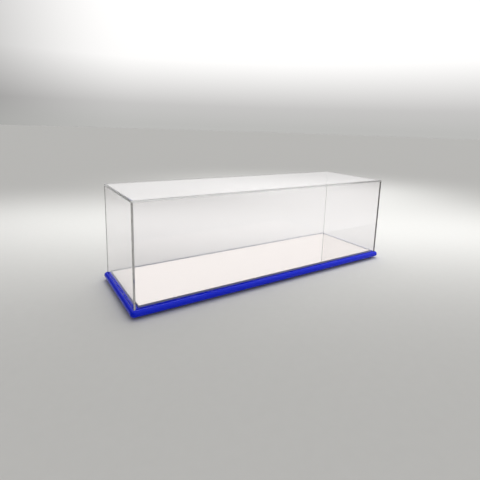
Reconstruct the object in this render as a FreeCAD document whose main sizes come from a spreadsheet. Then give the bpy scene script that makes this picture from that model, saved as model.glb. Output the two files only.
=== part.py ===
import FreeCAD, Part
import math
import os
import Sketcher
from FreeCAD import Placement, Rotation, Vector

# Display case for a long model: a clear five-sided cover of cemented acrylic sheet that lifts
# straight off, standing in a groove round a painted base with a bullnose edge and a mirror floor.
# Frame: origin under the middle of the case, on the surface that the feet stand on. +X runs along
# the length, the front faces -Y, +Z is up. Millimetres.

SIZES = [
    ("case_length", 500, "cover, outside, left to right"),
    ("case_width", 150, "cover, outside, front to back"),
    ("case_height", 150, "cover's top above the top of the base"),
    ("sheet", 3, "thickness of the cover's clear sheet"),
    ("arris", 0.4, "bevel on the cover's outer edges"),
    ("groove_depth", 2, "depth of the groove that the cover's foot stands in"),
    ("groove_gap", 0.5, "play each side of the cover's foot in the groove"),
    ("overhang", 5.3, "how far the base stands out from the cover all round"),
    ("board_thickness", 10, "base board and its lippings"),
    ("corner_radius", 6, "rounding of the base's corners, seen from above"),
    ("nose_radius", 4.6, "rounding of the lippings' outer edges"),
    ("nose_flat", 0.2, "least flat left beside the rounding"),
    ("mirror_thickness", 3, "mirrored sheet on the base"),
    ("mirror_arris", 0.3, "bevel round the mirror's top"),
    ("mirror_end_margin", 4, "bare board between the groove and the mirror, left and right"),
    ("mirror_side_margin", 1.5, "bare board between the groove and the mirror, front and back"),
    ("tape_thickness", 0.2, "double-sided tape under the mirror"),
    ("tape_width", 12, "width of each tape strip"),
    ("tape_inset", 4, "mirror's edge to the tape"),
    ("tape_gap", 1, "gap between tape strips at the corners"),
    ("foot_diameter", 12.7, "stick-on foot at the board"),
    ("foot_height", 3.5, "stick-on foot"),
    ("foot_draft", 0.9, "how much smaller in radius the foot is at the bottom"),
    ("foot_rounding", 0.8, "rounded lower edge of the foot"),
    ("foot_inset", 30, "edge of the base to a foot's centre"),
    ("pin_diameter", 1.2, "shank of a lipping pin"),
    ("pin_head_diameter", 2, "head of a lipping pin"),
    ("pin_head_thickness", 0.8, "head of a lipping pin"),
    ("pin_length", 20, "lipping pin, head and point included"),
    ("pin_point", 1.5, "length of the pin's point"),
    ("pin_point_diameter", 0.3, "blunt end of the pin's point"),
    ("pin_punch", 1.2, "filler over the punched-in head"),
    ("side_pin_spacing", 180, "between pins along the front and the back"),
    ("side_pin_count", 3, "pins along the front, and along the back"),
    ("end_pin_spacing", 90, "between pins across each end"),
    ("end_pin_count", 2, "pins across each end"),
]

# Expressions that several pieces share.
BASE_LENGTH = "(sizes.case_length + 2 * sizes.overhang)"
BASE_WIDTH = "(sizes.case_width + 2 * sizes.overhang)"
BASE_TOP = "(sizes.foot_height + sizes.board_thickness)"
GROOVE_FLOOR = "(sizes.foot_height + sizes.board_thickness - sizes.groove_depth)"
GROOVE_WIDTH = "(sizes.sheet + 2 * sizes.groove_gap)"
BOARD_INSET = "(sizes.sheet + sizes.groove_gap)"
LIPPING_WIDTH = "(sizes.overhang + sizes.sheet + sizes.groove_gap)"
WALL_HEIGHT = "(sizes.case_height + sizes.groove_depth - sizes.sheet)"
NOSE = (
    "min(sizes.nose_radius; sizes.board_thickness / 2 - sizes.nose_flat;"
    " sizes.overhang - sizes.groove_gap - sizes.nose_flat)"
)
BOARD_LENGTH = f"(sizes.case_length - 2 * {BOARD_INSET})"
BOARD_WIDTH = f"(sizes.case_width - 2 * {BOARD_INSET})"
MIRROR_LENGTH = f"({BOARD_LENGTH} - 2 * sizes.mirror_end_margin)"
MIRROR_WIDTH = f"({BOARD_WIDTH} - 2 * sizes.mirror_side_margin)"

doc = FreeCAD.newDocument("display_case")
sub_parts = []


def make_sheet():
    """The spreadsheet of driving dimensions: one row each, with the alias that expressions use."""
    sheet = doc.addObject("Spreadsheet::Sheet", "sizes")
    for row, (alias, value, meaning) in enumerate(SIZES, start=1):
        sheet.set(f"A{row}", meaning)
        sheet.set(f"B{row}", str(value))
        sheet.setAlias(f"B{row}", alias)
    doc.recompute()


def origin_plane(body, role):
    for feature in body.Origin.OriginFeatures:
        if feature.Role == role:
            return feature
    raise ValueError(role)


def new_sketch(body, name, role):
    sketch = body.newObject("Sketcher::SketchObject", name)
    sketch.AttachmentSupport = [(origin_plane(body, role), "")]
    sketch.MapMode = "FlatFace"
    return sketch


def drive(sketch, kind, refs, name, expression, start):
    """Adds a dimension to a sketch, names it and binds it to the sheet."""
    index = sketch.addConstraint(Sketcher.Constraint(kind, *refs, start))
    sketch.renameConstraint(index, name)
    sketch.setExpression(f"Constraints.{name}", expression)


def outline(sketch, corners):
    """Closed outline of straight lines through corners, joined at their ends and kept square."""
    count = len(corners)
    for i, (x, y) in enumerate(corners):
        end_x, end_y = corners[(i + 1) % count]
        sketch.addGeometry(Part.LineSegment(Vector(x, y, 0), Vector(end_x, end_y, 0)), False)
        if y == end_y:
            sketch.addConstraint(Sketcher.Constraint("Horizontal", i))
        if x == end_x:
            sketch.addConstraint(Sketcher.Constraint("Vertical", i))
    for i in range(count):
        sketch.addConstraint(Sketcher.Constraint("Coincident", i, 2, (i + 1) % count, 1))


def rectangle(body, name, across, up):
    """Rectangle on the body's XY plane, with its first corner at the body's origin."""
    sketch = new_sketch(body, name, "XY_Plane")
    outline(sketch, [(0, 0), (10, 0), (10, 10), (0, 10)])
    sketch.addConstraint(Sketcher.Constraint("Coincident", 0, 1, -1, 1))
    drive(sketch, "DistanceX", (0, 1, 0, 2), "across", across, 10)
    drive(sketch, "DistanceY", (1, 1, 1, 2), "up", up, 10)
    return sketch


def place(obj, x, y, z, turn=0):
    """Binds the piece's Placement to the sheet, turned about Z by a fixed angle."""
    obj.Placement = Placement(Vector(0, 0, 0), Rotation(Vector(0, 0, 1), turn))
    obj.setExpression("Placement.Base.x", x)
    obj.setExpression("Placement.Base.y", y)
    obj.setExpression("Placement.Base.z", z)


def new_body(name):
    body = doc.addObject("PartDesign::Body", name)
    body.Label = name
    return body


def pad(body, sketch, length, name="pad"):
    feature = body.newObject("PartDesign::Pad", f"{body.Name}_{name}")
    feature.Profile = sketch
    feature.setExpression("Length", length)
    sketch.Visibility = False
    doc.recompute()
    return feature


def slab(name, across, along, thickness):
    """A flat rectangular piece with one lower corner at its body's origin."""
    body = new_body(name)
    pad(body, rectangle(body, f"{name}_outline", across, along), thickness)
    return body


def bevel(body, size, wanted):
    """Chamfers the edges of the body's last feature for which wanted(edge) is true."""
    base = body.Tip
    names = [f"Edge{i}" for i, edge in enumerate(base.Shape.Edges, start=1) if wanted(edge)]
    feature = body.newObject("PartDesign::Chamfer", f"{body.Name}_arris")
    feature.Base = (base, names)
    feature.setExpression("Size", size)
    doc.recompute()


def pocket(body, sketch, name):
    """Cuts a sketch's outline right through the body, on the positive side of its plane."""
    cut = body.newObject("PartDesign::Pocket", f"{body.Name}_{name}")
    cut.Profile = sketch
    cut.Type = "ThroughAll"
    cut.Reversed = True
    sketch.Visibility = False
    doc.recompute()
    return cut


def on_nose(edge):
    """True for the straight outer edge of a lipping and for the round ends that carry on from it."""
    return isinstance(edge.Curve, Part.Circle) or all(abs(v.Y) < 1e-6 for v in edge.Vertexes)


def level(edge, height):
    return all(abs(vertex.Z - height) < 1e-6 for vertex in edge.Vertexes)


def upright_at(edge, y):
    low, high = edge.Vertexes[0].Point, edge.Vertexes[-1].Point
    return abs(low.z - high.z) > 1 and abs(low.y - y) < 1e-6 and abs(high.y - y) < 1e-6


def cover():
    """Five clear sheets cemented together: front and back run full length, the ends stand
    between them and the top lies over all four."""
    half_length = "sizes.case_length / 2"
    half_width = "sizes.case_width / 2"

    top = slab("top_panel", "sizes.case_length", "sizes.case_width", "sizes.sheet")
    bevel(top, "sizes.arris", lambda edge: level(edge, top.Shape.BoundBox.ZMax))
    place(top, f"-{half_length}", f"-{half_width}", f"{BASE_TOP} + sizes.case_height - sizes.sheet")
    sub_parts.append(top)

    for name, sign, turn in (("front_panel", "-", 0), ("back_panel", "", 180)):
        wall = slab(name, "sizes.case_length", "sizes.sheet", WALL_HEIGHT)
        bevel(wall, "sizes.arris", lambda edge: upright_at(edge, 0))
        place(wall, f"{sign}{half_length}", f"{sign}{half_width}", GROOVE_FLOOR, turn)
        sub_parts.append(wall)

    for name, x in (
        ("left_end_panel", f"-{half_length}"),
        ("right_end_panel", f"{half_length} - sizes.sheet"),
    ):
        wall = slab(name, "sizes.sheet", "sizes.case_width - 2 * sizes.sheet", WALL_HEIGHT)
        place(wall, x, f"-{half_width} + sizes.sheet", GROOVE_FLOOR)
        sub_parts.append(wall)


def lipping_blank(name, length):
    """Bullnose strip along +X, nose at y = 0, mitred at both ends and rounded at the corners of the
    base, with the groove for the cover rebated into its inner top edge."""
    body = new_body(name)
    strip = pad(body, rectangle(body, f"{name}_outline", length, LIPPING_WIDTH), "sizes.board_thickness")

    # Starting sizes of the sketch, which the sheet then sets.
    radius, width, long = 6.0, 8.8, strip.Shape.BoundBox.XMax
    corners = new_sketch(body, f"{name}_corners", "XY_Plane")
    inset = radius - radius / math.sqrt(2)
    for first, start, way in ((0, 0.0, 1), (5, long, -1)):
        places = ((0, 0), (radius, 0), (inset, inset), (width, width), (0, width))
        tip, run, round_end, inner, outer = (Vector(start + way * x, y, 0) for x, y in places)
        circle = Part.Circle(Vector(start + way * radius, radius, 0), Vector(0, 0, 1), radius)
        low, high = (5, 6) if way > 0 else (6, 7)
        corners.addGeometry(Part.LineSegment(tip, run), False)
        corners.addGeometry(Part.ArcOfCircle(circle, low * math.pi / 4, high * math.pi / 4), False)
        corners.addGeometry(Part.LineSegment(round_end, inner), False)
        corners.addGeometry(Part.LineSegment(inner, outer), False)
        corners.addGeometry(Part.LineSegment(outer, tip), False)
        edge, arc, mitre, back, side = range(first, first + 5)
        meets, leaves = (2, 1) if way > 0 else (1, 2)
        corners.addConstraint(Sketcher.Constraint("Tangent", edge, 2, arc, meets))
        corners.addConstraint(Sketcher.Constraint("Coincident", arc, leaves, mitre, 1))
        corners.addConstraint(Sketcher.Constraint("Coincident", mitre, 2, back, 1))
        corners.addConstraint(Sketcher.Constraint("Coincident", back, 2, side, 1))
        corners.addConstraint(Sketcher.Constraint("Coincident", side, 2, edge, 1))
        corners.addConstraint(Sketcher.Constraint("Horizontal", edge))
        corners.addConstraint(Sketcher.Constraint("Horizontal", back))
        corners.addConstraint(Sketcher.Constraint("Vertical", side))
        corners.addConstraint(Sketcher.Constraint("PointOnObject", arc, 3, mitre))
        drive(corners, "Radius", (arc,), f"round{first}", "sizes.corner_radius", radius)
        drive(corners, "DistanceY", (side, 2, side, 1), f"rise{first}", LIPPING_WIDTH, width)
        from_left = (edge, 1, edge, 2) if way > 0 else (edge, 2, edge, 1)
        drive(corners, "DistanceX", from_left, f"tangent{first}", "sizes.corner_radius", radius)
        from_left = (back, 2, back, 1) if way > 0 else (back, 1, back, 2)
        drive(corners, "DistanceX", from_left, f"run{first}", LIPPING_WIDTH, width)
    corners.addConstraint(Sketcher.Constraint("Coincident", 0, 1, -1, 1))
    corners.addConstraint(Sketcher.Constraint("PointOnObject", 5, 1, -1))
    drive(corners, "DistanceX", (0, 1, 5, 1), "length", length, long)
    shaped = pocket(body, corners, "corner_cut")
    if shaped.Shape.Volume >= strip.Shape.Volume:
        raise RuntimeError(f"{name}: the corner cut removed nothing")

    top = strip.Shape.BoundBox.ZMax
    nose = [
        f"Edge{i}"
        for i, edge in enumerate(shaped.Shape.Edges, start=1)
        if (level(edge, 0) or level(edge, top)) and on_nose(edge)
    ]
    rounded = body.newObject("PartDesign::Fillet", f"{name}_nose")
    rounded.Base = (shaped, nose)
    rounded.setExpression("Radius", NOSE)
    doc.recompute()

    groove = new_sketch(body, f"{name}_groove", "YZ_Plane")
    outline(groove, [(4.8, 8), (8.8, 8), (8.8, 10), (4.8, 10)])
    drive(groove, "DistanceX", (-1, 1, 0, 2), "width", LIPPING_WIDTH, 8.8)
    drive(groove, "DistanceY", (-1, 1, 1, 2), "height", "sizes.board_thickness", 10)
    drive(groove, "DistanceX", (0, 1, 0, 2), "groove", GROOVE_WIDTH, 4)
    drive(groove, "DistanceY", (1, 1, 1, 2), "depth", "sizes.groove_depth", 2)
    pocket(body, groove, "groove_cut")
    return body


def pins(name, spacing, count, edge, row_axis):
    """Two rows of lipping pins, punched in from opposite edges of the base towards its middle.
    The rows run along X for the long sides and along Y for the ends."""
    along_x = row_axis == "X"
    body = new_body(name)
    body.AllowCompound = True
    profile = new_sketch(body, f"{name}_profile", "XY_Plane")
    # Half section of one pin as first drawn: (distance in from the edge, distance off its axis).
    half = [(1.2, 0), (1.2, 1.0), (2.0, 1.0), (2.0, 0.6), (19.7, 0.6), (21.2, 0.15), (21.2, 0)]
    count_points = len(half)

    def point(depth, radius):
        return Vector(radius, depth, 0) if along_x else Vector(depth, radius, 0)

    for i in range(count_points):
        start, end = half[i], half[(i + 1) % count_points]
        profile.addGeometry(Part.LineSegment(point(*start), point(*end)), False)
    for i in range(count_points):
        profile.addConstraint(Sketcher.Constraint("Coincident", i, 2, (i + 1) % count_points, 1))
    deep, wide = ("DistanceY", "DistanceX") if along_x else ("DistanceX", "DistanceY")
    square = ("Horizontal", "Vertical") if along_x else ("Vertical", "Horizontal")
    back, head_side, head_under, shank, taper, tip, axis = range(7)
    for line in (back, head_under, tip):
        profile.addConstraint(Sketcher.Constraint(square[0], line))
    for line in (head_side, shank, axis):
        profile.addConstraint(Sketcher.Constraint(square[1], line))
    drive(profile, deep, (back, 1, tip, 2), "long", "sizes.pin_length", 20)
    drive(profile, deep, (head_side, 1, head_side, 2), "head", "sizes.pin_head_thickness", 0.8)
    drive(profile, deep, (taper, 1, taper, 2), "point", "sizes.pin_point", 1.5)
    drive(profile, wide, (back, 1, back, 2), "head_radius", "sizes.pin_head_diameter / 2", 1.0)
    drive(profile, wide, (axis, 2, shank, 1), "radius", "sizes.pin_diameter / 2", 0.6)
    drive(profile, wide, (tip, 2, tip, 1), "blunt", "sizes.pin_point_diameter / 2", 0.15)
    # The axis end of the first pin: half a row away from the middle, a punch's depth in.
    drive(profile, wide, (back, 1, -1, 1), "row", f"{spacing} * ({count} - 1) / 2", 1)
    drive(profile, deep, (back, 1, -1, 1), "depth", f"{edge} - sizes.pin_punch", 1)

    turned = body.newObject("PartDesign::Revolution", f"{name}_turned")
    turned.Profile = profile
    turned.ReferenceAxis = (profile, [f"Edge{axis + 1}"])
    turned.Angle = 360
    profile.Visibility = False
    doc.recompute()
    repeat = body.newObject("PartDesign::MultiTransform", f"{name}_rows")
    row = body.newObject("PartDesign::LinearPattern", f"{name}_row")
    row.Direction = (origin_plane(body, "X_Axis" if along_x else "Y_Axis"), [""])
    row.setExpression("Length", f"{spacing} * ({count} - 1)")
    row.setExpression("Occurrences", count)
    mirror = body.newObject("PartDesign::Mirrored", f"{name}_opposite")
    mirror.MirrorPlane = (origin_plane(body, "XZ_Plane" if along_x else "YZ_Plane"), [""])
    repeat.Originals = [turned]
    repeat.Transformations = [row, mirror]
    body.Tip = repeat
    place(body, "0", "0", "sizes.foot_height + sizes.board_thickness / 2")
    sub_parts.append(body)
    doc.recompute()
    return body


def cut_for(name, blank, tools):
    """The piece that is left when the pins driven into it have made their own holes."""
    base = blank
    for tool in tools:
        result = doc.addObject("Part::Cut", f"{name}_for_{tool.Name}")
        result.Base = base
        result.Tool = tool
        base = result
    base.Label = name
    sub_parts.append(base)
    doc.recompute()


def base():
    """Board with a mitred bullnose lipping round it, pinned from the outside."""
    half_length = f"{BASE_LENGTH} / 2"
    half_width = f"{BASE_WIDTH} / 2"
    side_pins = pins("side_lipping_pins", "sizes.side_pin_spacing", "sizes.side_pin_count", half_width, "X")
    end_pins = pins("end_lipping_pins", "sizes.end_pin_spacing", "sizes.end_pin_count", half_length, "Y")

    board = slab("board_blank", BOARD_LENGTH, BOARD_WIDTH, "sizes.board_thickness")
    place(board, f"-{BOARD_LENGTH} / 2", f"-{BOARD_WIDTH} / 2", "sizes.foot_height")
    cut_for("base_board", board, [side_pins, end_pins])

    for name, length, x, y, turn, tool in (
        ("front_lipping", BASE_LENGTH, f"-{half_length}", f"-{half_width}", 0, side_pins),
        ("back_lipping", BASE_LENGTH, half_length, half_width, 180, side_pins),
        ("left_lipping", BASE_WIDTH, f"-{half_length}", half_width, -90, end_pins),
        ("right_lipping", BASE_WIDTH, half_length, f"-{half_width}", 90, end_pins),
    ):
        strip = lipping_blank(f"{name}_blank", length)
        place(strip, x, y, "sizes.foot_height", turn)
        cut_for(name, strip, [tool])


def mirror_floor():
    """Mirrored sheet on strips of double-sided tape."""
    mirror = slab("mirror_panel", MIRROR_LENGTH, MIRROR_WIDTH, "sizes.mirror_thickness")
    bevel(mirror, "sizes.mirror_arris", lambda edge: level(edge, mirror.Shape.BoundBox.ZMax))
    place(mirror, f"-{MIRROR_LENGTH} / 2", f"-{MIRROR_WIDTH} / 2", f"{BASE_TOP} + sizes.tape_thickness")
    sub_parts.append(mirror)

    long = f"({MIRROR_LENGTH} - 2 * sizes.tape_inset)"
    wide = f"({MIRROR_WIDTH} - 2 * sizes.tape_inset)"
    short = f"({wide} - 2 * sizes.tape_width - 2 * sizes.tape_gap)"
    for name, across, along, x, y in (
        ("front_mirror_tape", long, "sizes.tape_width", f"-{long} / 2", f"-{wide} / 2"),
        ("back_mirror_tape", long, "sizes.tape_width", f"-{long} / 2", f"{wide} / 2 - sizes.tape_width"),
        ("left_mirror_tape", "sizes.tape_width", short, f"-{long} / 2", f"-{short} / 2"),
        ("right_mirror_tape", "sizes.tape_width", short, f"{long} / 2 - sizes.tape_width", f"-{short} / 2"),
    ):
        strip = slab(name, across, along, "sizes.tape_thickness")
        place(strip, x, y, BASE_TOP)
        sub_parts.append(strip)


def feet():
    """Four stick-on feet, tapering downwards to a flat face."""
    for end, sign_x in (("left", "-"), ("right", "")):
        for side, sign_y in (("front", "-"), ("back", "")):
            name = f"{side}_{end}_foot"
            body = new_body(name)
            profile = new_sketch(body, f"{name}_profile", "XZ_Plane")
            outline(profile, [(0, 0), (5.4, 0), (6.35, 3.5), (0, 3.5)])
            profile.addConstraint(Sketcher.Constraint("Coincident", 0, 1, -1, 1))
            drive(profile, "DistanceX", (2, 2, 2, 1), "top", "sizes.foot_diameter / 2", 6.35)
            face = "sizes.foot_diameter / 2 - sizes.foot_draft"
            drive(profile, "DistanceX", (0, 1, 0, 2), "face", face, 5.4)
            drive(profile, "DistanceY", (3, 2, 3, 1), "height", "sizes.foot_height", 3.5)
            turned = body.newObject("PartDesign::Revolution", f"{name}_turned")
            turned.Profile = profile
            turned.ReferenceAxis = (profile, ["V_Axis"])
            turned.Angle = 360
            profile.Visibility = False
            doc.recompute()
            rim = [
                f"Edge{i}" for i, edge in enumerate(turned.Shape.Edges, start=1)
                if level(edge, 0) and edge.Closed
            ]
            rounding = body.newObject("PartDesign::Fillet", f"{name}_rounding")
            rounding.Base = (turned, rim)
            rounding.setExpression("Radius", "sizes.foot_rounding")
            place(
                body, f"{sign_x}({BASE_LENGTH} / 2 - sizes.foot_inset)",
                f"{sign_y}({BASE_WIDTH} / 2 - sizes.foot_inset)", "0",
            )
            sub_parts.append(body)
            doc.recompute()


def check_and_write():
    """Stops if anything in the document failed, then writes one STEP file per piece."""
    doc.recompute()
    for obj in doc.Objects:
        if "Invalid" in obj.State or "Error" in obj.State:
            raise RuntimeError(f"{obj.Label} did not build: {obj.State}")
    for obj in sub_parts:
        if obj.Shape.isNull() or not obj.Shape.isValid() or not obj.Shape.Solids:
            raise RuntimeError(f"{obj.Label} has no valid solid")
    os.makedirs("parts", exist_ok=True)
    for obj in sub_parts:
        obj.Shape.exportStep(f"parts/{obj.Label}.step")
        box = obj.Shape.BoundBox
        size = f"{box.XLength:.2f} x {box.YLength:.2f} x {box.ZLength:.2f} mm"
        print(f"{obj.Label}: {len(obj.Shape.Solids)} solids, {size}, {obj.Shape.Volume:.1f} mm3")


make_sheet()
cover()
base()
mirror_floor()
feet()
check_and_write()
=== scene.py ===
"""A long clear display case for a model: the bonded acrylic cover, the blue lacquered base, the mirror
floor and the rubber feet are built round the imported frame, and stood on a pale studio floor."""

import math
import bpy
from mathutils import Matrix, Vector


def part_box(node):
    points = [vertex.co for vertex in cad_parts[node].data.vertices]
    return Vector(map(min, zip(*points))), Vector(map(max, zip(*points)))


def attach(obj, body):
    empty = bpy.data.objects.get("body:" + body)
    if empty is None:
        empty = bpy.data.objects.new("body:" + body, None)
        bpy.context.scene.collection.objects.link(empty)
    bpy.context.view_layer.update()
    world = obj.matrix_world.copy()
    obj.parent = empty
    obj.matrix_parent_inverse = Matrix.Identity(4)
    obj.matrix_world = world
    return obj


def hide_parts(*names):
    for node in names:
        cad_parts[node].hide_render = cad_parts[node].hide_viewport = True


bl_info = {
    "name": "Display Case",
    "version": (1, 0, 0),
    "blender": (4, 5, 0),
    "location": "3D Viewport > Sidebar > Display Case",
    "description": "Builds a clear display case with a lacquered base and a mirror floor",
    "category": "Add Mesh",
}

import bmesh
import bpy
from bpy.props import FloatProperty, FloatVectorProperty, IntProperty, PointerProperty
from mathutils import Matrix, Vector

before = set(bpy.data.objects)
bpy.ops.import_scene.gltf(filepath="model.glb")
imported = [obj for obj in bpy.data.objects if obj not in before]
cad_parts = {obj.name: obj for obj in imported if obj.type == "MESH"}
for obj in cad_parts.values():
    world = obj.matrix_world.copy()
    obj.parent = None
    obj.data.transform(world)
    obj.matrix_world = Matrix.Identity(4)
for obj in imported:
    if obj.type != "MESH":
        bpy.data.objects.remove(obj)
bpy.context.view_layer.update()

MM = 0.001
NEAR = 0.01 * MM  # closer than this, two places count as the same
FIT = 0.3 * MM  # how far a piece may differ from the node that it stands for
CLEAN = 0.001 * MM  # a cut joins points that are closer than this
STRAIGHT = 0.99  # an edge or face that points this nearly along an axis counts as pointing along it
LEVEL = 0.1  # an edge or face that points up or down by less than this counts as level
SHARP = math.radians(40)  # edges sharper than this stay crisp
SOFT_STEPS, ARRIS_STEPS, BUMPER_STEPS = 2, 3, 5  # facets across the small roundings
ACRYLIC_IOR = 1.49
CLEAR_JOINT, HAZY_JOINT = 0.15, 0.5  # how much of a cemented joint shows
SOFT_EDGE, GLOSSY_EDGE = 0.35, 0.06  # roughness of a polished edge


# Colours, node trees and edit-mode helpers


def srgb(code):
    """An sRGB hex value as linear red, green, blue and a full alpha."""
    channels = [int(code[i : i + 2], 16) / 255 for i in (0, 2, 4)]
    return [c / 12.92 if c <= 0.04045 else ((c + 0.055) / 1.055) ** 2.4 for c in channels] + [1.0]


def every(size):
    """The texture scale that repeats a pattern about every so many millimetres."""
    return 1000 / size


def add_node(tree, kind, inputs=None, **settings):
    """Adds a node, sets it up, and feeds each input a value or another node's output."""
    node = tree.nodes.new(kind)
    for name, value in settings.items():
        setattr(node, name, value)
    for key, value in (inputs or {}).items():
        if isinstance(value, bpy.types.NodeSocket):
            tree.links.new(value, node.inputs[key])
        else:
            node.inputs[key].default_value = value
    return node


def new_material(name):
    """An empty node material, its tree, and the object coordinates that its patterns are laid out on."""
    material = bpy.data.materials.new(name)
    material.use_nodes = True
    material.node_tree.nodes.clear()
    tree = material.node_tree
    return material, tree, add_node(tree, "ShaderNodeTexCoord").outputs["Object"]


def output(tree, shader):
    """Ends the tree in the surface output."""
    add_node(tree, "ShaderNodeOutputMaterial", {"Surface": shader})


def pick(kind, test):
    """In edit mode, selects only the faces, edges or verts whose middle and direction pass the test."""
    bpy.ops.mesh.select_mode(type={"faces": "FACE", "edges": "EDGE", "verts": "VERT"}[kind])
    bpy.ops.mesh.select_all(action="DESELECT")
    mesh = bmesh.from_edit_mesh(bpy.context.object.data)
    found = 0
    for part in getattr(mesh, kind):
        if kind == "faces":
            middle, direction = part.calc_center_median(), part.normal
        elif kind == "edges":
            middle = (part.verts[0].co + part.verts[1].co) / 2
            direction = (part.verts[1].co - part.verts[0].co).normalized()
        else:
            middle, direction = part.co, part.normal
        if test(middle, direction):
            part.select_set(True)
            found += 1
    mesh.select_flush_mode()
    bmesh.update_edit_mesh(bpy.context.object.data)
    if not found:
        raise RuntimeError(f"{bpy.context.object.name}: no {kind} to work on")


def start_block(name, low, high):
    """Adds a block between two corners and opens it in edit mode."""
    bpy.ops.object.select_all(action="DESELECT")
    middle = [(a + b) / 2 for a, b in zip(low, high)]
    size = [b - a for a, b in zip(low, high)]
    bpy.ops.mesh.primitive_cube_add(size=1, location=middle, scale=size)
    bpy.context.object.name = name
    bpy.ops.object.transform_apply(location=True, rotation=True, scale=True)
    bpy.ops.object.mode_set(mode="EDIT")
    return bpy.context.object


def bevel_edges(width, segments, test):
    """Rounds the edges that pass the test."""
    pick("edges", test)
    bpy.ops.mesh.bevel(offset=width, segments=segments, affect="EDGES")


def finish_piece(piece, body, nodes):
    """Smooths the rounded edges of a piece and keeps its flats true, checks its place, and gives it its
    body and the CAD nodes that it stands for."""
    bpy.ops.object.mode_set(mode="OBJECT")
    bpy.ops.object.select_all(action="DESELECT")
    piece.select_set(True)
    bpy.context.view_layer.objects.active = piece
    bpy.ops.object.transform_apply(location=True, rotation=True, scale=True)
    bpy.ops.object.shade_smooth_by_angle(angle=SHARP)
    bpy.ops.object.modifier_add(type="WEIGHTED_NORMAL")
    flats = piece.modifiers[-1]
    flats.weight = 100
    flats.keep_sharp = True
    bpy.ops.object.modifier_apply(modifier=flats.name)
    for node in nodes:
        cad_low, cad_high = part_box(node)
        corners = [Vector(c) for c in piece.bound_box]
        for axis in range(3):
            low, high = min(c[axis] for c in corners), max(c[axis] for c in corners)
            if abs(low - cad_low[axis]) > FIT or abs(high - cad_high[axis]) > FIT:
                raise RuntimeError(f"{piece.name} isn't where {node} is")
    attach(piece, body)
    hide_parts(*nodes)


def assign(piece, materials):
    """Gives a piece its materials, and each face the first one whose test it passes."""
    for material, _ in materials:
        piece.data.materials.append(material)
    for face in piece.data.polygons:
        for number, (_, test) in enumerate(materials):
            if test is None or test(face.center, face.normal):
                face.material_index = number
                break


# Materials


def let_light_through(tree, shader, clear):
    """Lets lamps and bounced light go straight through a clear sheet, which would otherwise cast a dark
    shadow."""
    path = add_node(tree, "ShaderNodeLightPath")
    light = add_node(
        tree,
        "ShaderNodeMath",
        {0: path.outputs["Is Shadow Ray"], 1: path.outputs["Is Diffuse Ray"]},
        operation="MAXIMUM",
    )
    straight = add_node(tree, "ShaderNodeBsdfTransparent", {"Color": clear})
    return add_node(
        tree, "ShaderNodeMixShader", {0: light.outputs[0], 1: shader, 2: straight.outputs[0]}
    ).outputs[0]


def clear_sheet():
    """Extruded clear acrylic sheet, left as rolled: the faces are glossy and nearly colourless, with the
    long shallow roller waves that make reflections drift a little."""
    material, tree, place = new_material("Clear acrylic sheet, extruded")
    finish = bpy.context.scene.display_case_finishes
    stretched = add_node(tree, "ShaderNodeMapping", {"Vector": place, "Scale": (0.4, 1.0, 1.0)})
    waves = add_node(
        tree,
        "ShaderNodeTexNoise",
        {"Vector": stretched.outputs[0], "Scale": every(70), "Detail": 1.0, "Roughness": 0.4},
    )
    ripple = add_node(
        tree,
        "ShaderNodeBump",
        {"Height": waves.outputs[0], "Strength": 0.10, "Distance": 0.4 * MM},
    )
    sheet = add_node(
        tree,
        "ShaderNodeBsdfPrincipled",
        {
            "Base Color": finish.acrylic,
            "Roughness": 0.0,
            "IOR": ACRYLIC_IOR,
            "Transmission Weight": 1.0,
            "Normal": ripple.outputs[0],
        },
    )
    output(tree, let_light_through(tree, sheet.outputs[0], (0.955, 0.955, 0.955, 1.0)))
    return material


def polished_edge(roughness):
    """Acrylic edge, sawn and flame polished: a soft shine with a fine ripple along it, and slightly grey,
    because the eye looks down the whole width of the sheet. The top's edges got less of the flame and are
    left softer."""
    material, tree, place = new_material("Clear acrylic edge, flame polished")
    finish = bpy.context.scene.display_case_finishes
    saw = add_node(
        tree,
        "ShaderNodeTexNoise",
        {"Vector": place, "Scale": every(1.6), "Detail": 2.0, "Roughness": 0.5},
    )
    ripple = add_node(
        tree, "ShaderNodeBump", {"Height": saw.outputs[0], "Strength": 0.15, "Distance": 0.02 * MM}
    )
    edge = add_node(
        tree,
        "ShaderNodeBsdfPrincipled",
        {
            "Base Color": finish.edge,
            "Roughness": roughness,
            "IOR": ACRYLIC_IOR,
            "Transmission Weight": 1.0,
            "Normal": ripple.outputs[0],
        },
    )
    output(tree, let_light_through(tree, edge.outputs[0], (0.85, 0.85, 0.85, 1.0)))
    return material


def cemented_joint(haze):
    """Solvent-cemented acrylic joint: the sheets have run together, so it is clear, with a grey cast and a
    few trapped bubbles along it. The upright joints are hazier than those under the top, which its weight
    closed."""
    material, tree, place = new_material("Acrylic joint, solvent cemented")
    finish = bpy.context.scene.display_case_finishes
    bubbles = add_node(
        tree,
        "ShaderNodeTexNoise",
        {"Vector": place, "Scale": every(2.2), "Detail": 3.0, "Roughness": 0.6},
    )
    cast = add_node(
        tree,
        "ShaderNodeMapRange",
        {
            "Value": bubbles.outputs[0],
            "From Min": 0.35,
            "From Max": 0.75,
            "To Min": 0.8 * haze,
            "To Max": 1.1 * haze,
        },
    )
    film = add_node(tree, "ShaderNodeBsdfDiffuse", {"Color": finish.joint, "Roughness": 0.3})
    clear = add_node(tree, "ShaderNodeBsdfTransparent", {"Color": (0.93, 0.93, 0.925, 1.0)})
    mixed = add_node(
        tree, "ShaderNodeMixShader", {0: cast.outputs[0], 1: clear.outputs[0], 2: film.outputs[0]}
    )
    output(tree, mixed.outputs[0])
    return material


def bonded_face():
    """The other sheet's side of a cemented joint, which has no surface left to see."""
    material, tree, _ = new_material("Acrylic joint, run together")
    clear = add_node(tree, "ShaderNodeBsdfTransparent", {"Color": (1.0, 1.0, 1.0, 1.0)})
    output(tree, clear.outputs[0])
    return material


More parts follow.
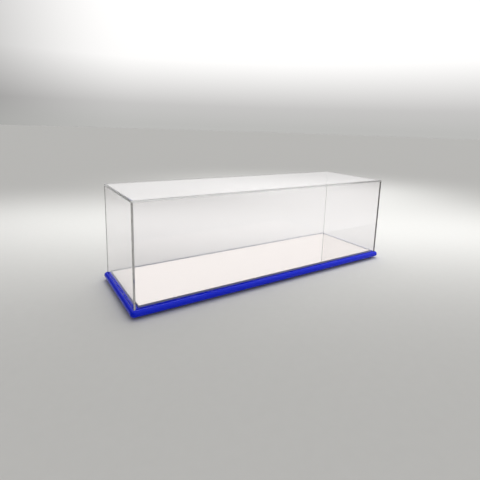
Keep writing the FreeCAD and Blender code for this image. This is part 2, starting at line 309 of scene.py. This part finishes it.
def mirror_face():
    """Cast acrylic mirror sheet: clear and glossy, with the slow wave that bends what it reflects."""
    material, tree, place = new_material("Acrylic mirror face, cast")
    finish = bpy.context.scene.display_case_finishes
    waves = add_node(
        tree,
        "ShaderNodeTexNoise",
        {"Vector": place, "Scale": every(90), "Detail": 1.0, "Roughness": 0.4},
    )
    ripple = add_node(
        tree, "ShaderNodeBump", {"Height": waves.outputs[0], "Strength": 0.12, "Distance": 0.4 * MM}
    )
    face = add_node(
        tree,
        "ShaderNodeBsdfPrincipled",
        {
            "Base Color": finish.acrylic,
            "Roughness": 0.0,
            "IOR": ACRYLIC_IOR,
            "Transmission Weight": 1.0,
            "Normal": ripple.outputs[0],
        },
    )
    output(tree, let_light_through(tree, face.outputs[0], (0.96, 0.96, 0.96, 1.0)))
    return material


def sawn_edge():
    """Sawn edge of the mirror sheet: left matt by the blade, so it scatters what little light reaches it.
    Its blue-grey colour is painted shade and a painted reflection of the blue base around it.
    """
    material, tree, place = new_material("Acrylic mirror edge, sawn")
    finish = bpy.context.scene.display_case_finishes
    marks = add_node(
        tree,
        "ShaderNodeTexNoise",
        {"Vector": place, "Scale": every(1.2), "Detail": 2.0, "Roughness": 0.6},
    )
    scored = add_node(
        tree, "ShaderNodeBump", {"Height": marks.outputs[0], "Strength": 0.3, "Distance": 0.05 * MM}
    )
    # The base colour is painted shade and a painted reflection of the blue base: darker and bluer than the
    # sawn acrylic itself.
    sawn = add_node(
        tree,
        "ShaderNodeBsdfPrincipled",
        {
            "Base Color": finish.sawn,
            "Roughness": 0.45,
            "IOR": ACRYLIC_IOR,
            "Normal": scored.outputs[0],
        },
    )
    output(tree, sawn.outputs[0])
    return material


def mirror_silver():
    """Vacuum-metallised aluminium on the back of the mirror sheet: bright, very slightly warm, with a faint
    haze."""
    material, tree, place = new_material("Aluminium mirror coat, vacuum metallised")
    finish = bpy.context.scene.display_case_finishes
    haze = add_node(
        tree,
        "ShaderNodeTexNoise",
        {"Vector": place, "Scale": every(25), "Detail": 3.0, "Roughness": 0.6},
    )
    blur = add_node(
        tree,
        "ShaderNodeMapRange",
        {"Value": haze.outputs[0], "From Min": 0.3, "From Max": 0.7, "To Min": 0.01, "To Max": 0.03},
    )
    coat = add_node(
        tree,
        "ShaderNodeBsdfPrincipled",
        {"Base Color": finish.silver, "Metallic": 1.0, "Roughness": blur.outputs[0]},
    )
    output(tree, coat.outputs[0])
    return material


def blue_lacquer():
    """Sprayed polyurethane lacquer on MDF and hardwood, polished to full gloss: a deep blue under a clear
    coat, with the faint orange peel and the slight unevenness of cover that spraying leaves."""
    material, tree, place = new_material("Blue polyurethane lacquer, sprayed and polished")
    finish = bpy.context.scene.display_case_finishes
    clouds = add_node(
        tree,
        "ShaderNodeTexNoise",
        {"Vector": place, "Scale": every(45), "Detail": 3.0, "Roughness": 0.55},
    )
    cover = add_node(
        tree,
        "ShaderNodeMix",
        {0: clouds.outputs[0], 6: finish.lacquer, 7: finish.lacquer_thin},
        data_type="RGBA",
    )
    peel = add_node(
        tree,
        "ShaderNodeTexNoise",
        {"Vector": place, "Scale": every(2.6), "Detail": 1.5, "Roughness": 0.5},
    )
    skin = add_node(
        tree, "ShaderNodeBump", {"Height": peel.outputs[0], "Strength": 0.25, "Distance": 0.03 * MM}
    )
    lacquer = add_node(
        tree,
        "ShaderNodeBsdfPrincipled",
        {
            "Base Color": cover.outputs[2],
            "Roughness": 0.3,
            "Specular IOR Level": 0.0,
            "Coat Weight": 1.0,
            "Coat Roughness": 0.05,
            "Coat IOR": 1.28,
            "Normal": skin.outputs[0],
            "Coat Normal": skin.outputs[0],
        },
    )
    output(tree, lacquer.outputs[0])
    return material


def bumper_rubber():
    """Polyurethane bumper, cast: black, with a soft sheen and a very fine grain."""
    material, tree, place = new_material("Black polyurethane, cast")
    finish = bpy.context.scene.display_case_finishes
    grain = add_node(
        tree,
        "ShaderNodeTexNoise",
        {"Vector": place, "Scale": every(0.5), "Detail": 2.0, "Roughness": 0.6},
    )
    skin = add_node(
        tree, "ShaderNodeBump", {"Height": grain.outputs[0], "Strength": 0.3, "Distance": 0.02 * MM}
    )
    rough = add_node(
        tree,
        "ShaderNodeMapRange",
        {"Value": grain.outputs[0], "From Min": 0.3, "From Max": 0.7, "To Min": 0.42, "To Max": 0.6},
    )
    rubber = add_node(
        tree,
        "ShaderNodeBsdfPrincipled",
        {
            "Base Color": finish.rubber,
            "Roughness": rough.outputs[0],
            "IOR": 1.5,
            "Normal": skin.outputs[0],
        },
    )
    output(tree, rubber.outputs[0])
    return material


def tissue_tape():
    """Double-sided tissue tape: a matte, off-white fibre carrier that shows through its adhesive."""
    material, tree, place = new_material("Double-sided tissue tape")
    finish = bpy.context.scene.display_case_finishes
    fibres = add_node(
        tree,
        "ShaderNodeTexNoise",
        {"Vector": place, "Scale": every(1.2), "Detail": 4.0, "Roughness": 0.7, "Distortion": 1.5},
    )
    shade = add_node(
        tree,
        "ShaderNodeMix",
        {0: fibres.outputs[0], 6: finish.tape, 7: finish.tape_fibre},
        data_type="RGBA",
    )
    tape = add_node(
        tree,
        "ShaderNodeBsdfPrincipled",
        {"Base Color": shade.outputs[2], "Roughness": 0.7, "IOR": 1.48},
    )
    output(tree, tape.outputs[0])
    return material


def drawn_steel():
    """Bright steel wire, drawn and cut into panel pins: satin, with fine lines along the shank."""
    material, tree, place = new_material("Steel wire, drawn")
    finish = bpy.context.scene.display_case_finishes
    lines = add_node(
        tree,
        "ShaderNodeTexNoise",
        {"Vector": place, "Scale": every(0.3), "Detail": 2.0, "Roughness": 0.5},
    )
    rough = add_node(
        tree,
        "ShaderNodeMapRange",
        {"Value": lines.outputs[0], "From Min": 0.3, "From Max": 0.7, "To Min": 0.25, "To Max": 0.4},
    )
    steel = add_node(
        tree,
        "ShaderNodeBsdfPrincipled",
        {"Base Color": finish.steel, "Metallic": 1.0, "Roughness": rough.outputs[0]},
    )
    output(tree, steel.outputs[0])
    return material


def studio_paint():
    """Matt emulsion on the studio floor: pale, with a hardly visible roller texture."""
    material, tree, place = new_material("Matt emulsion, rolled")
    finish = bpy.context.scene.display_case_finishes
    stipple = add_node(
        tree,
        "ShaderNodeTexNoise",
        {"Vector": place, "Scale": every(12), "Detail": 2.0, "Roughness": 0.5},
    )
    tone = add_node(
        tree,
        "ShaderNodeMix",
        {0: stipple.outputs[0], 6: finish.stage, 7: finish.stage_low},
        data_type="RGBA",
    )
    paint = add_node(
        tree,
        "ShaderNodeBsdfPrincipled",
        {"Base Color": tone.outputs[2], "Roughness": 0.9, "Specular IOR Level": 0.1},
    )
    output(tree, paint.outputs[0])
    return material


def material(make, *values):
    """The material that a maker function makes from these values, made once."""
    key = " ".join([make.__name__, *(str(value) for value in values)])
    made = dict(bpy.context.scene.get("display_case_materials", {}))
    if key not in made:
        made[key] = make(*values).name
        bpy.context.scene["display_case_materials"] = made
    return bpy.data.materials[made[key]]


# Sizes and colours


def length(name, description, default):
    """A length in metres, entered in millimetres here."""
    return FloatProperty(
        name=name,
        description=description,
        default=default * MM,
        min=0.0,
        precision=5,
        unit="LENGTH",
    )


def finish_colour(name, description, code):
    """A colour, entered as an sRGB hex value here."""
    return FloatVectorProperty(
        name=name,
        description=description,
        default=srgb(code),
        size=4,
        min=0.0,
        max=1.0,
        subtype="COLOR",
    )


class DisplayCaseSizes(bpy.types.PropertyGroup):
    arris: length("Arris", "Polished arris on the outer edges of the cover", 0.4)
    joint: length("Joint", "Thickness of the cement between two sheets", 0.02)
    groove_gap: length("Groove gap", "Play between the cover and the outer wall of the groove", 0.5)
    clearance: length("Clearance", "Air between the foot of the cover and the floor of the groove", 0.05)
    corner: length("Corner", "Rounding of the base's corners, seen from above", 6)
    nose: length("Nose", "Radius of the bullnose along the base", 4.6)
    mitre: length("Mitre", "Softening of the lippings along their mitres", 0.15)
    ease: length("Ease", "Softening of the board and the top of the mirror", 0.3)
    bumper_face: length("Bumper face", "Radius of a foot where it stands on the floor", 5.45)
    bumper_round: length("Bumper rounding", "Rounding of a foot's lower edge", 0.8)
    bumper_rim: length("Bumper rim", "Width of the ring that a foot stands on", 1.0)
    bumper_slope: length("Bumper slope", "Width of the slope into the hollow under a foot", 1.2)
    bumper_dish: length("Bumper dish", "Depth of the hollow under a foot", 0.25)
    bumper_top: length("Bumper top", "Softening of a foot's upper edge", 0.15)
    round_steps: IntProperty(
        name="Steps", description="Facets in a quarter of a rounded edge", default=14, min=2, max=64
    )


class DisplayCaseFinishes(bpy.types.PropertyGroup):
    acrylic: finish_colour("Acrylic", "Tint of the clear sheet", "FEFDFE")
    edge: finish_colour("Acrylic edge", "Tint of the polished edges", "F4F5F5")
    joint: finish_colour("Joint", "Colour of the cemented joints", "B4B2AF")
    # The sawn edge's colour is painted shade and a painted reflection of the blue base.
    sawn: finish_colour("Sawn edge", "Colour of the sawn edge of the mirror", "7E829C")
    silver: finish_colour("Mirror coat", "Colour of the metal behind the mirror", "F7F4EF")
    lacquer: finish_colour("Lacquer", "Colour of the base", "041ED4")
    lacquer_thin: finish_colour("Thin lacquer", "Colour of the base under thinner lacquer", "0626DE")
    rubber: finish_colour("Feet", "Colour of the rubber feet", "1C1C1D")
    tape: finish_colour("Tape", "Colour of the tape's adhesive", "E6E2D8")
    tape_fibre: finish_colour("Tape fibre", "Colour of the fibres in the tape", "D2CDC0")
    steel: finish_colour("Pins", "Colour of the steel pins", "C4C4C6")
    stage: finish_colour("Studio", "Colour of the studio floor", "D2D2D0")
    stage_low: finish_colour("Studio texture", "Colour in the hollows of the studio paint", "CFCFCD")


class DisplayCaseStudio(bpy.types.PropertyGroup):
    radius: FloatProperty(
        name="Floor radius",
        description="Radius of the studio floor",
        default=20.0,
        min=1.0,
        unit="LENGTH",
    )
    camera: FloatVectorProperty(
        name="Camera place",
        description="Where the camera stands",
        default=(-0.37775, -0.53160, 0.26035),
        subtype="TRANSLATION",
    )
    azimuth: FloatProperty(
        name="Azimuth",
        description="Turn of the camera away from the front, to the right if positive",
        default=math.radians(-33.59),
        subtype="ANGLE",
    )
    elevation: FloatProperty(
        name="Elevation",
        description="Angle of the camera above the horizon",
        default=math.radians(10.48),
        subtype="ANGLE",
    )
    roll: FloatProperty(
        name="Roll", description="Tilt of the camera", default=math.radians(1.85), subtype="ANGLE"
    )
    lens: FloatProperty(
        name="Lens", description="Focal length in millimetres", default=27.3225, min=1.0
    )
    shift: FloatVectorProperty(
        name="Shift", description="Shift of the view", default=(-0.01396, -0.0954), size=2
    )


# The cover


def panel(node, low_gap, high_gap, arris, parts, joint_strip=None):
    """One flat sheet of the cover: a block that keeps clear of its neighbours by the cement, with its
    arrises rounded and each of its faces given the finish that it has there."""
    sizes = bpy.context.scene.display_case_sizes
    low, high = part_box(node)
    low, high = Vector(low) + Vector(low_gap), Vector(high) - Vector(high_gap)
    piece = start_block("clear_" + node, low, high)
    if arris:
        bevel_edges(sizes.arris, ARRIS_STEPS, arris)
    if joint_strip:
        facing, cuts = joint_strip
        for at, across in cuts:
            pick("faces", lambda middle, normal: normal.dot(Vector(facing)) > STRAIGHT)
            bpy.ops.mesh.bisect(plane_co=at, plane_no=across)
    bpy.ops.object.mode_set(mode="OBJECT")
    assign(piece, parts)
    finish_piece(piece, "cover", [node])


def cover_lines():
    """How far out the cover's sheets meet: the inside of the ends, and of the front and back."""
    inside_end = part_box("right_end_panel")[0][0]
    inside_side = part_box("back_panel")[0][1]
    return inside_end, inside_side


class BuildTop(bpy.types.Operator):
    """Builds the top sheet of the cover, which lies over the edges of the four walls"""

    bl_idname = "display_case.top"
    bl_label = "Top"

    def execute(self, context):
        inside_end, inside_side = cover_lines()
        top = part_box("top_panel")[1][2]

        def outer_edges(middle, along):
            on_top = middle.z > top - NEAR
            upright = abs(along.z) > STRAIGHT
            return on_top or upright

        def joint(middle, normal):
            outside = abs(middle.x) > inside_end or abs(middle.y) > inside_side
            return normal.z < -STRAIGHT and outside

        def flat(middle, normal):
            return abs(normal.z) > STRAIGHT

        cuts = [
            ((inside_end, 0, 0), (1, 0, 0)),
            ((-inside_end, 0, 0), (1, 0, 0)),
            ((0, inside_side, 0), (0, 1, 0)),
            ((0, -inside_side, 0), (0, 1, 0)),
        ]
        parts = [
            (material(cemented_joint, CLEAR_JOINT), joint),
            (material(clear_sheet), flat),
            (material(polished_edge, SOFT_EDGE), None),
        ]
        panel("top_panel", (0, 0, 0), (0, 0, 0), outer_edges, parts, ((0, 0, -1), cuts))
        return {"FINISHED"}


class BuildLongSides(bpy.types.Operator):
    """Builds the front and back sheets of the cover, which cover the edges of the two ends"""

    bl_idname = "display_case.long_sides"
    bl_label = "Front and back"

    def execute(self, context):
        sizes = context.scene.display_case_sizes
        inside_end, _ = cover_lines()
        for node, out in (("front_panel", -1), ("back_panel", 1)):
            low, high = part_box(node)
            outer = low[1] if out < 0 else high[1]

            def outer_corners(middle, along, outer=outer):
                return abs(along.z) > STRAIGHT and abs(middle.y - outer) < NEAR

            def joint(middle, normal, out=out):
                return normal.y * out < -STRAIGHT and abs(middle.x) > inside_end

            def bonded(middle, normal):
                return normal.z > STRAIGHT

            def flat(middle, normal):
                return abs(normal.y) > STRAIGHT

            cuts = [((inside_end, 0, 0), (1, 0, 0)), ((-inside_end, 0, 0), (1, 0, 0))]
            parts = [
                (material(cemented_joint, HAZY_JOINT), joint),
                (material(bonded_face), bonded),
                (material(clear_sheet), flat),
                (material(polished_edge, GLOSSY_EDGE), None),
            ]
            strip = ((0, -out, 0), cuts)
            panel(node, (0, 0, 0), (0, 0, sizes.joint), outer_corners, parts, strip)
        return {"FINISHED"}


class BuildEnds(bpy.types.Operator):
    """Builds the two end sheets of the cover, which stand between the front and the back"""

    bl_idname = "display_case.ends"
    bl_label = "Ends"

    def execute(self, context):
        film = context.scene.display_case_sizes.joint

        def bonded(middle, normal):
            return normal.z > STRAIGHT or abs(normal.y) > STRAIGHT

        def flat(middle, normal):
            return abs(normal.x) > STRAIGHT

        parts = [
            (material(bonded_face), bonded),
            (material(clear_sheet), flat),
            (material(polished_edge, GLOSSY_EDGE), None),
        ]
        for node in ("left_end_panel", "right_end_panel"):
            panel(node, (0, film, 0), (0, film, film), None, parts)
        return {"FINISHED"}


# The base


class BuildBoard(bpy.types.Operator):
    """Builds the base board, with its corners eased before it was lacquered"""

    bl_idname = "display_case.board"
    bl_label = "Base board"

    def execute(self, context):
        sizes = context.scene.display_case_sizes
        low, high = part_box("base_board")
        piece = start_block("lacquered_base_board", low, high)
        bevel_edges(sizes.ease, SOFT_STEPS, lambda middle, along: True)
        bpy.ops.object.mode_set(mode="OBJECT")
        assign(piece, [(material(blue_lacquer), None)])
        finish_piece(piece, "base", ["base_board"])
        return {"FINISHED"}


def cut_away(piece, low, high):
    """Cuts a block between two corners out of a piece."""
    cutter = start_block("cutter", low, high)
    bpy.ops.object.mode_set(mode="OBJECT")
    bpy.ops.object.select_all(action="DESELECT")
    piece.select_set(True)
    bpy.context.view_layer.objects.active = piece
    bpy.ops.object.modifier_add(type="BOOLEAN")
    cut = piece.modifiers[-1]
    cut.operation = "DIFFERENCE"
    cut.solver = "EXACT"
    cut.object = cutter
    bpy.ops.object.modifier_apply(modifier=cut.name)
    bpy.data.meshes.remove(cutter.data)


def rim_width(sizes):
    """Width of the lipping outside the groove, which leaves the cover a little play."""
    outside = -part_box("front_panel")[0][1]
    return -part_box("front_lipping")[0][1] - outside - sizes.groove_gap


def lipping(node, out):
    """One bullnose lipping, cut from a slab the size of the base: the slab's corners and then its edges are
    rounded, all but one side is cut away along the board and the two mitres, and the groove for the cover
    is rebated into the side that is left."""
    sizes = bpy.context.scene.display_case_sizes
    right_low, right_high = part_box("right_lipping")
    back_low, back_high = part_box("back_lipping")
    outer = Vector((right_high[0], back_high[1], back_high[2]))
    inner = Vector((right_low[0], back_low[1], back_low[2]))
    piece = start_block("lacquered_" + node, (-outer.x, -outer.y, inner.z), outer)
    corner_steps = 2 * sizes.round_steps + 1
    bevel_edges(sizes.corner, corner_steps, lambda middle, along: abs(along.z) > STRAIGHT)
    bevel_edges(sizes.nose, sizes.round_steps, lambda middle, along: abs(along.z) < LEVEL)

    across = Vector((abs(out.y), abs(out.x), 0))
    cuts = [(out * inner, -out)]
    cuts += [((out + side * across) * inner, side * across - out) for side in (-1, 1)]
    for at, away in cuts:
        bpy.ops.mesh.select_all(action="SELECT")
        bpy.ops.mesh.bisect(
            plane_co=at, plane_no=away, clear_outer=True, use_fill=True, threshold=CLEAN
        )
    bpy.ops.object.mode_set(mode="OBJECT")

    rim = outer - Vector((1, 1, 0)) * rim_width(sizes)
    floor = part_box("front_panel")[0][2] - sizes.clearance
    above = outer.z + (outer.z - inner.z) / 2
    cut_away(piece, (-rim.x, -rim.y, floor), (rim.x, rim.y, above))

    def on_mitre(middle, _):
        return any(abs((middle - at).dot(away.normalized())) < NEAR for at, away in cuts[1:])

    bpy.ops.object.mode_set(mode="EDIT")
    bevel_edges(sizes.mitre, SOFT_STEPS, on_mitre)
    bpy.ops.object.mode_set(mode="OBJECT")
    assign(piece, [(material(blue_lacquer), None)])
    finish_piece(piece, "base", [node])


class BuildLippings(bpy.types.Operator):
    """Builds the four bullnose lippings round the base, mitred at its rounded corners"""

    bl_idname = "display_case.lippings"
    bl_label = "Lippings"

    def execute(self, context):
        for node, out in (
            ("front_lipping", (0, -1, 0)),
            ("back_lipping", (0, 1, 0)),
            ("left_lipping", (-1, 0, 0)),
            ("right_lipping", (1, 0, 0)),
        ):
            lipping(node, Vector(out))
        return {"FINISHED"}


class BuildMirror(bpy.types.Operator):
    """Builds the mirror floor, a clear sheet with its metal coat underneath"""

    bl_idname = "display_case.mirror"
    bl_label = "Mirror floor"

    def execute(self, context):
        sizes = context.scene.display_case_sizes
        low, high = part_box("mirror_panel")
        piece = start_block("mirror_floor", low, high)
        bevel_edges(sizes.ease, SOFT_STEPS, lambda middle, along: middle.z > high[2] - NEAR)
        bpy.ops.object.mode_set(mode="OBJECT")
        parts = [
            (material(mirror_silver), lambda middle, normal: normal.z < -STRAIGHT),
            (material(sawn_edge), lambda middle, normal: abs(normal.z) < LEVEL),
            (material(mirror_face), None),
        ]
        assign(piece, parts)
        finish_piece(piece, "base", ["mirror_panel"])
        return {"FINISHED"}


class BuildFeet(bpy.types.Operator):
    """Builds the four rubber feet: one is shaped and the others are copies of it"""

    bl_idname = "display_case.feet"
    bl_label = "Feet"

    def execute(self, context):
        sizes = context.scene.display_case_sizes
        nodes = ["front_left_foot", "back_left_foot", "front_right_foot", "back_right_foot"]
        low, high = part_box(nodes[0])
        middle = [(a + b) / 2 for a, b in zip(low, high)]
        radius = (high[0] - low[0]) / 2
        bpy.ops.object.select_all(action="DESELECT")
        bpy.ops.mesh.primitive_cylinder_add(
            vertices=64, radius=radius, depth=high[2] - low[2], location=middle
        )
        first = bpy.context.object
        first.name = "bumper_" + nodes[0]
        bpy.ops.object.transform_apply(location=True, rotation=True, scale=True)
        bpy.ops.object.mode_set(mode="EDIT")
        pick("faces", lambda at, normal: normal.z < -STRAIGHT)
        narrow = sizes.bumper_face / radius
        centre = (middle[0], middle[1], low[2])
        bpy.ops.transform.resize(value=(narrow, narrow, 1), center_override=centre)
        bpy.ops.mesh.bevel(offset=sizes.bumper_round, segments=BUMPER_STEPS, affect="EDGES")
        pick("faces", lambda at, normal: normal.z < -STRAIGHT)
        bpy.ops.mesh.inset(thickness=sizes.bumper_rim)
        bpy.ops.mesh.inset(thickness=sizes.bumper_slope, depth=-sizes.bumper_dish)
        bevel_edges(sizes.bumper_top, SOFT_STEPS, lambda at, along: at.z > high[2] - NEAR)
        bpy.ops.object.mode_set(mode="OBJECT")
        assign(first, [(material(bumper_rubber), None)])
        feet = [first]
        for node in nodes[1:]:
            bpy.ops.object.select_all(action="DESELECT")
            first.select_set(True)
            context.view_layer.objects.active = first
            bpy.ops.object.duplicate(linked=False)
            copy = context.object
            copy.name = "bumper_" + node
            there = Vector(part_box(node)[0]) - Vector(low)
            bpy.ops.transform.translate(value=there)
            feet.append(copy)
        for foot, node in zip(feet, nodes):
            finish_piece(foot, "base", [node])
        return {"FINISHED"}


class FinishHiddenParts(bpy.types.Operator):
    """Gives the tape under the mirror and the pins in the lippings their finishes"""

    bl_idname = "display_case.hidden_parts"
    bl_label = "Tape and pins"

    def execute(self, context):
        for name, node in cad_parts.items():
            if name.endswith("_mirror_tape"):
                made = material(tissue_tape)
            elif name.endswith("_pins"):
                made = material(drawn_steel)
            else:
                continue
            node.data.materials.clear()
            node.data.materials.append(made)
        return {"FINISHED"}


# The studio


class BuildStudio(bpy.types.Operator):
    """Builds the pale studio floor, the soft light and the camera"""

    bl_idname = "display_case.studio"
    bl_label = "Studio"

    def execute(self, context):
        studio = context.scene.display_case_studio
        bpy.ops.object.select_all(action="DESELECT")
        bpy.ops.mesh.primitive_circle_add(vertices=128, radius=studio.radius, fill_type="NGON")
        floor = context.object
        floor.name = "studio_floor"
        bpy.ops.object.mode_set(mode="EDIT")
        bpy.ops.mesh.select_all(action="SELECT")
        bpy.ops.mesh.normals_make_consistent(inside=False)
        bpy.ops.object.mode_set(mode="OBJECT")
        assign(floor, [(material(studio_paint), None)])

        # A white tent over the floor: as dark as the far floor at the horizon, brightest a little above
        # it, and open to a dim room on the left, so that the clear edges and the glossy lacquer have
        # something to show against.
        world = bpy.data.worlds.new("Studio tent")
        world.use_nodes = True
        tree = world.node_tree
        tree.nodes.clear()
        toward = add_node(tree, "ShaderNodeTexCoord").outputs["Generated"]
        along = add_node(tree, "ShaderNodeSeparateXYZ", {0: toward})
        heights = (0.05, 0.16, 0.30, 0.55)
        shades = []
        for codes in (
            ("B5B5B3", "BFBEBD", "F6F5F4", "FDFCFB", "F4F3F2", "ECEBEA"),
            ("8A8A88", "585756", "484746", "4E4D4C", "8A8988", "ECEBEA"),
        ):
            shade = add_node(tree, "ShaderNodeValToRGB", {0: along.outputs["Z"]})
            stops = shade.color_ramp.elements
            stops[0].position, stops[0].color = 0.0, srgb(codes[0])
            stops[1].position, stops[1].color = 1.0, srgb(codes[5])
            for height, code in zip(heights, codes[1:5]):
                stops.new(height).color = srgb(code)
            shades.append(shade.outputs[0])
        left = add_node(
            tree,
            "ShaderNodeMapRange",
            {"Value": along.outputs["X"], "From Min": 0.3, "From Max": -0.4},
            interpolation_type="SMOOTHSTEP",
        )
        both = add_node(
            tree, "ShaderNodeMix", {0: left.outputs[0], 6: shades[0], 7: shades[1]}, data_type="RGBA"
        )
        sky = add_node(tree, "ShaderNodeBackground", {"Color": both.outputs[2], "Strength": 1.1})
        add_node(tree, "ShaderNodeOutputWorld", {"Surface": sky.outputs[0]})
        context.scene.world = world

        # (name, place, turn in degrees, width, depth, spread, power)
        lamps = (
            ("overhead_softbox", (0.25, 0.14, 0.75), (0, 0, -33.6), 1.9, 0.25, 75, 2.1),
            ("far_softbox", (0.7, 0.55, 0.75), (0, 0, -33.6), 0.9, 0.4, 100, 1.8),
        )
        for name, place, turn, width, depth, spread, power in lamps:
            aim = [math.radians(angle) for angle in turn]
            bpy.ops.object.light_add(type="AREA", location=place, rotation=aim)
            lamp = context.object
            lamp.name = name
            lamp.data.shape = "RECTANGLE"
            lamp.data.size = width
            lamp.data.size_y = depth
            lamp.data.spread = math.radians(spread)
            lamp.data.energy = power

        side, up = studio.azimuth, studio.elevation
        back = Vector(
            (math.sin(side) * math.cos(up), -math.cos(side) * math.cos(up), math.sin(up))
        )
        right = (-back).cross(Vector((0, 0, 1))).normalized()
        head = right.cross(-back)
        tilt = studio.roll
        turned = Matrix(
            (
                math.cos(tilt) * right + math.sin(tilt) * head,
                math.cos(tilt) * head - math.sin(tilt) * right,
                back,
            )
        ).transposed()
        bpy.ops.object.camera_add(location=studio.camera, rotation=turned.to_euler())
        camera = context.object
        camera.name = "camera"
        camera.data.sensor_width = 36
        camera.data.lens = studio.lens
        camera.data.shift_x, camera.data.shift_y = studio.shift
        camera.data.clip_start = 0.01
        camera.data.clip_end = 50
        context.scene.camera = camera

        # Light makes many turns inside a clear case, and plain colours are wanted as they are.
        cycles = context.scene.cycles
        cycles.max_bounces = cycles.transmission_bounces = cycles.transparent_max_bounces = 24
        cycles.glossy_bounces = 12
        context.scene.view_settings.view_transform = "Standard"
        return {"FINISHED"}


# The add-on

STEPS = (
    BuildStudio,
    BuildBoard,
    BuildLippings,
    BuildMirror,
    BuildFeet,
    FinishHiddenParts,
    BuildLongSides,
    BuildEnds,
    BuildTop,
)


class DisplayCasePanel(bpy.types.Panel):
    bl_idname = "VIEW3D_PT_display_case"
    bl_label = "Display Case"
    bl_space_type = "VIEW_3D"
    bl_region_type = "UI"
    bl_category = "Display Case"

    def draw(self, context):
        layout = self.layout
        for step in STEPS:
            layout.operator(step.bl_idname)
        for group in ("display_case_sizes", "display_case_finishes", "display_case_studio"):
            values = getattr(context.scene, group)
            box = layout.box()
            for name in values.__annotations__:
                box.prop(values, name)


GROUPS = {
    "display_case_sizes": DisplayCaseSizes,
    "display_case_finishes": DisplayCaseFinishes,
    "display_case_studio": DisplayCaseStudio,
}
CLASSES = (*GROUPS.values(), *STEPS, DisplayCasePanel)


def register():
    for made in CLASSES:
        bpy.utils.register_class(made)
    for name, group in GROUPS.items():
        setattr(bpy.types.Scene, name, PointerProperty(type=group))


def unregister():
    for name in GROUPS:
        delattr(bpy.types.Scene, name)
    for made in reversed(CLASSES):
        bpy.utils.unregister_class(made)


def main():
    register()
    bpy.ops.display_case.studio()
    bpy.ops.display_case.board()
    bpy.ops.display_case.lippings()
    bpy.ops.display_case.mirror()
    bpy.ops.display_case.feet()
    bpy.ops.display_case.hidden_parts()
    bpy.ops.display_case.long_sides()
    bpy.ops.display_case.ends()
    bpy.ops.display_case.top()


if __name__ == "__main__":
    main()
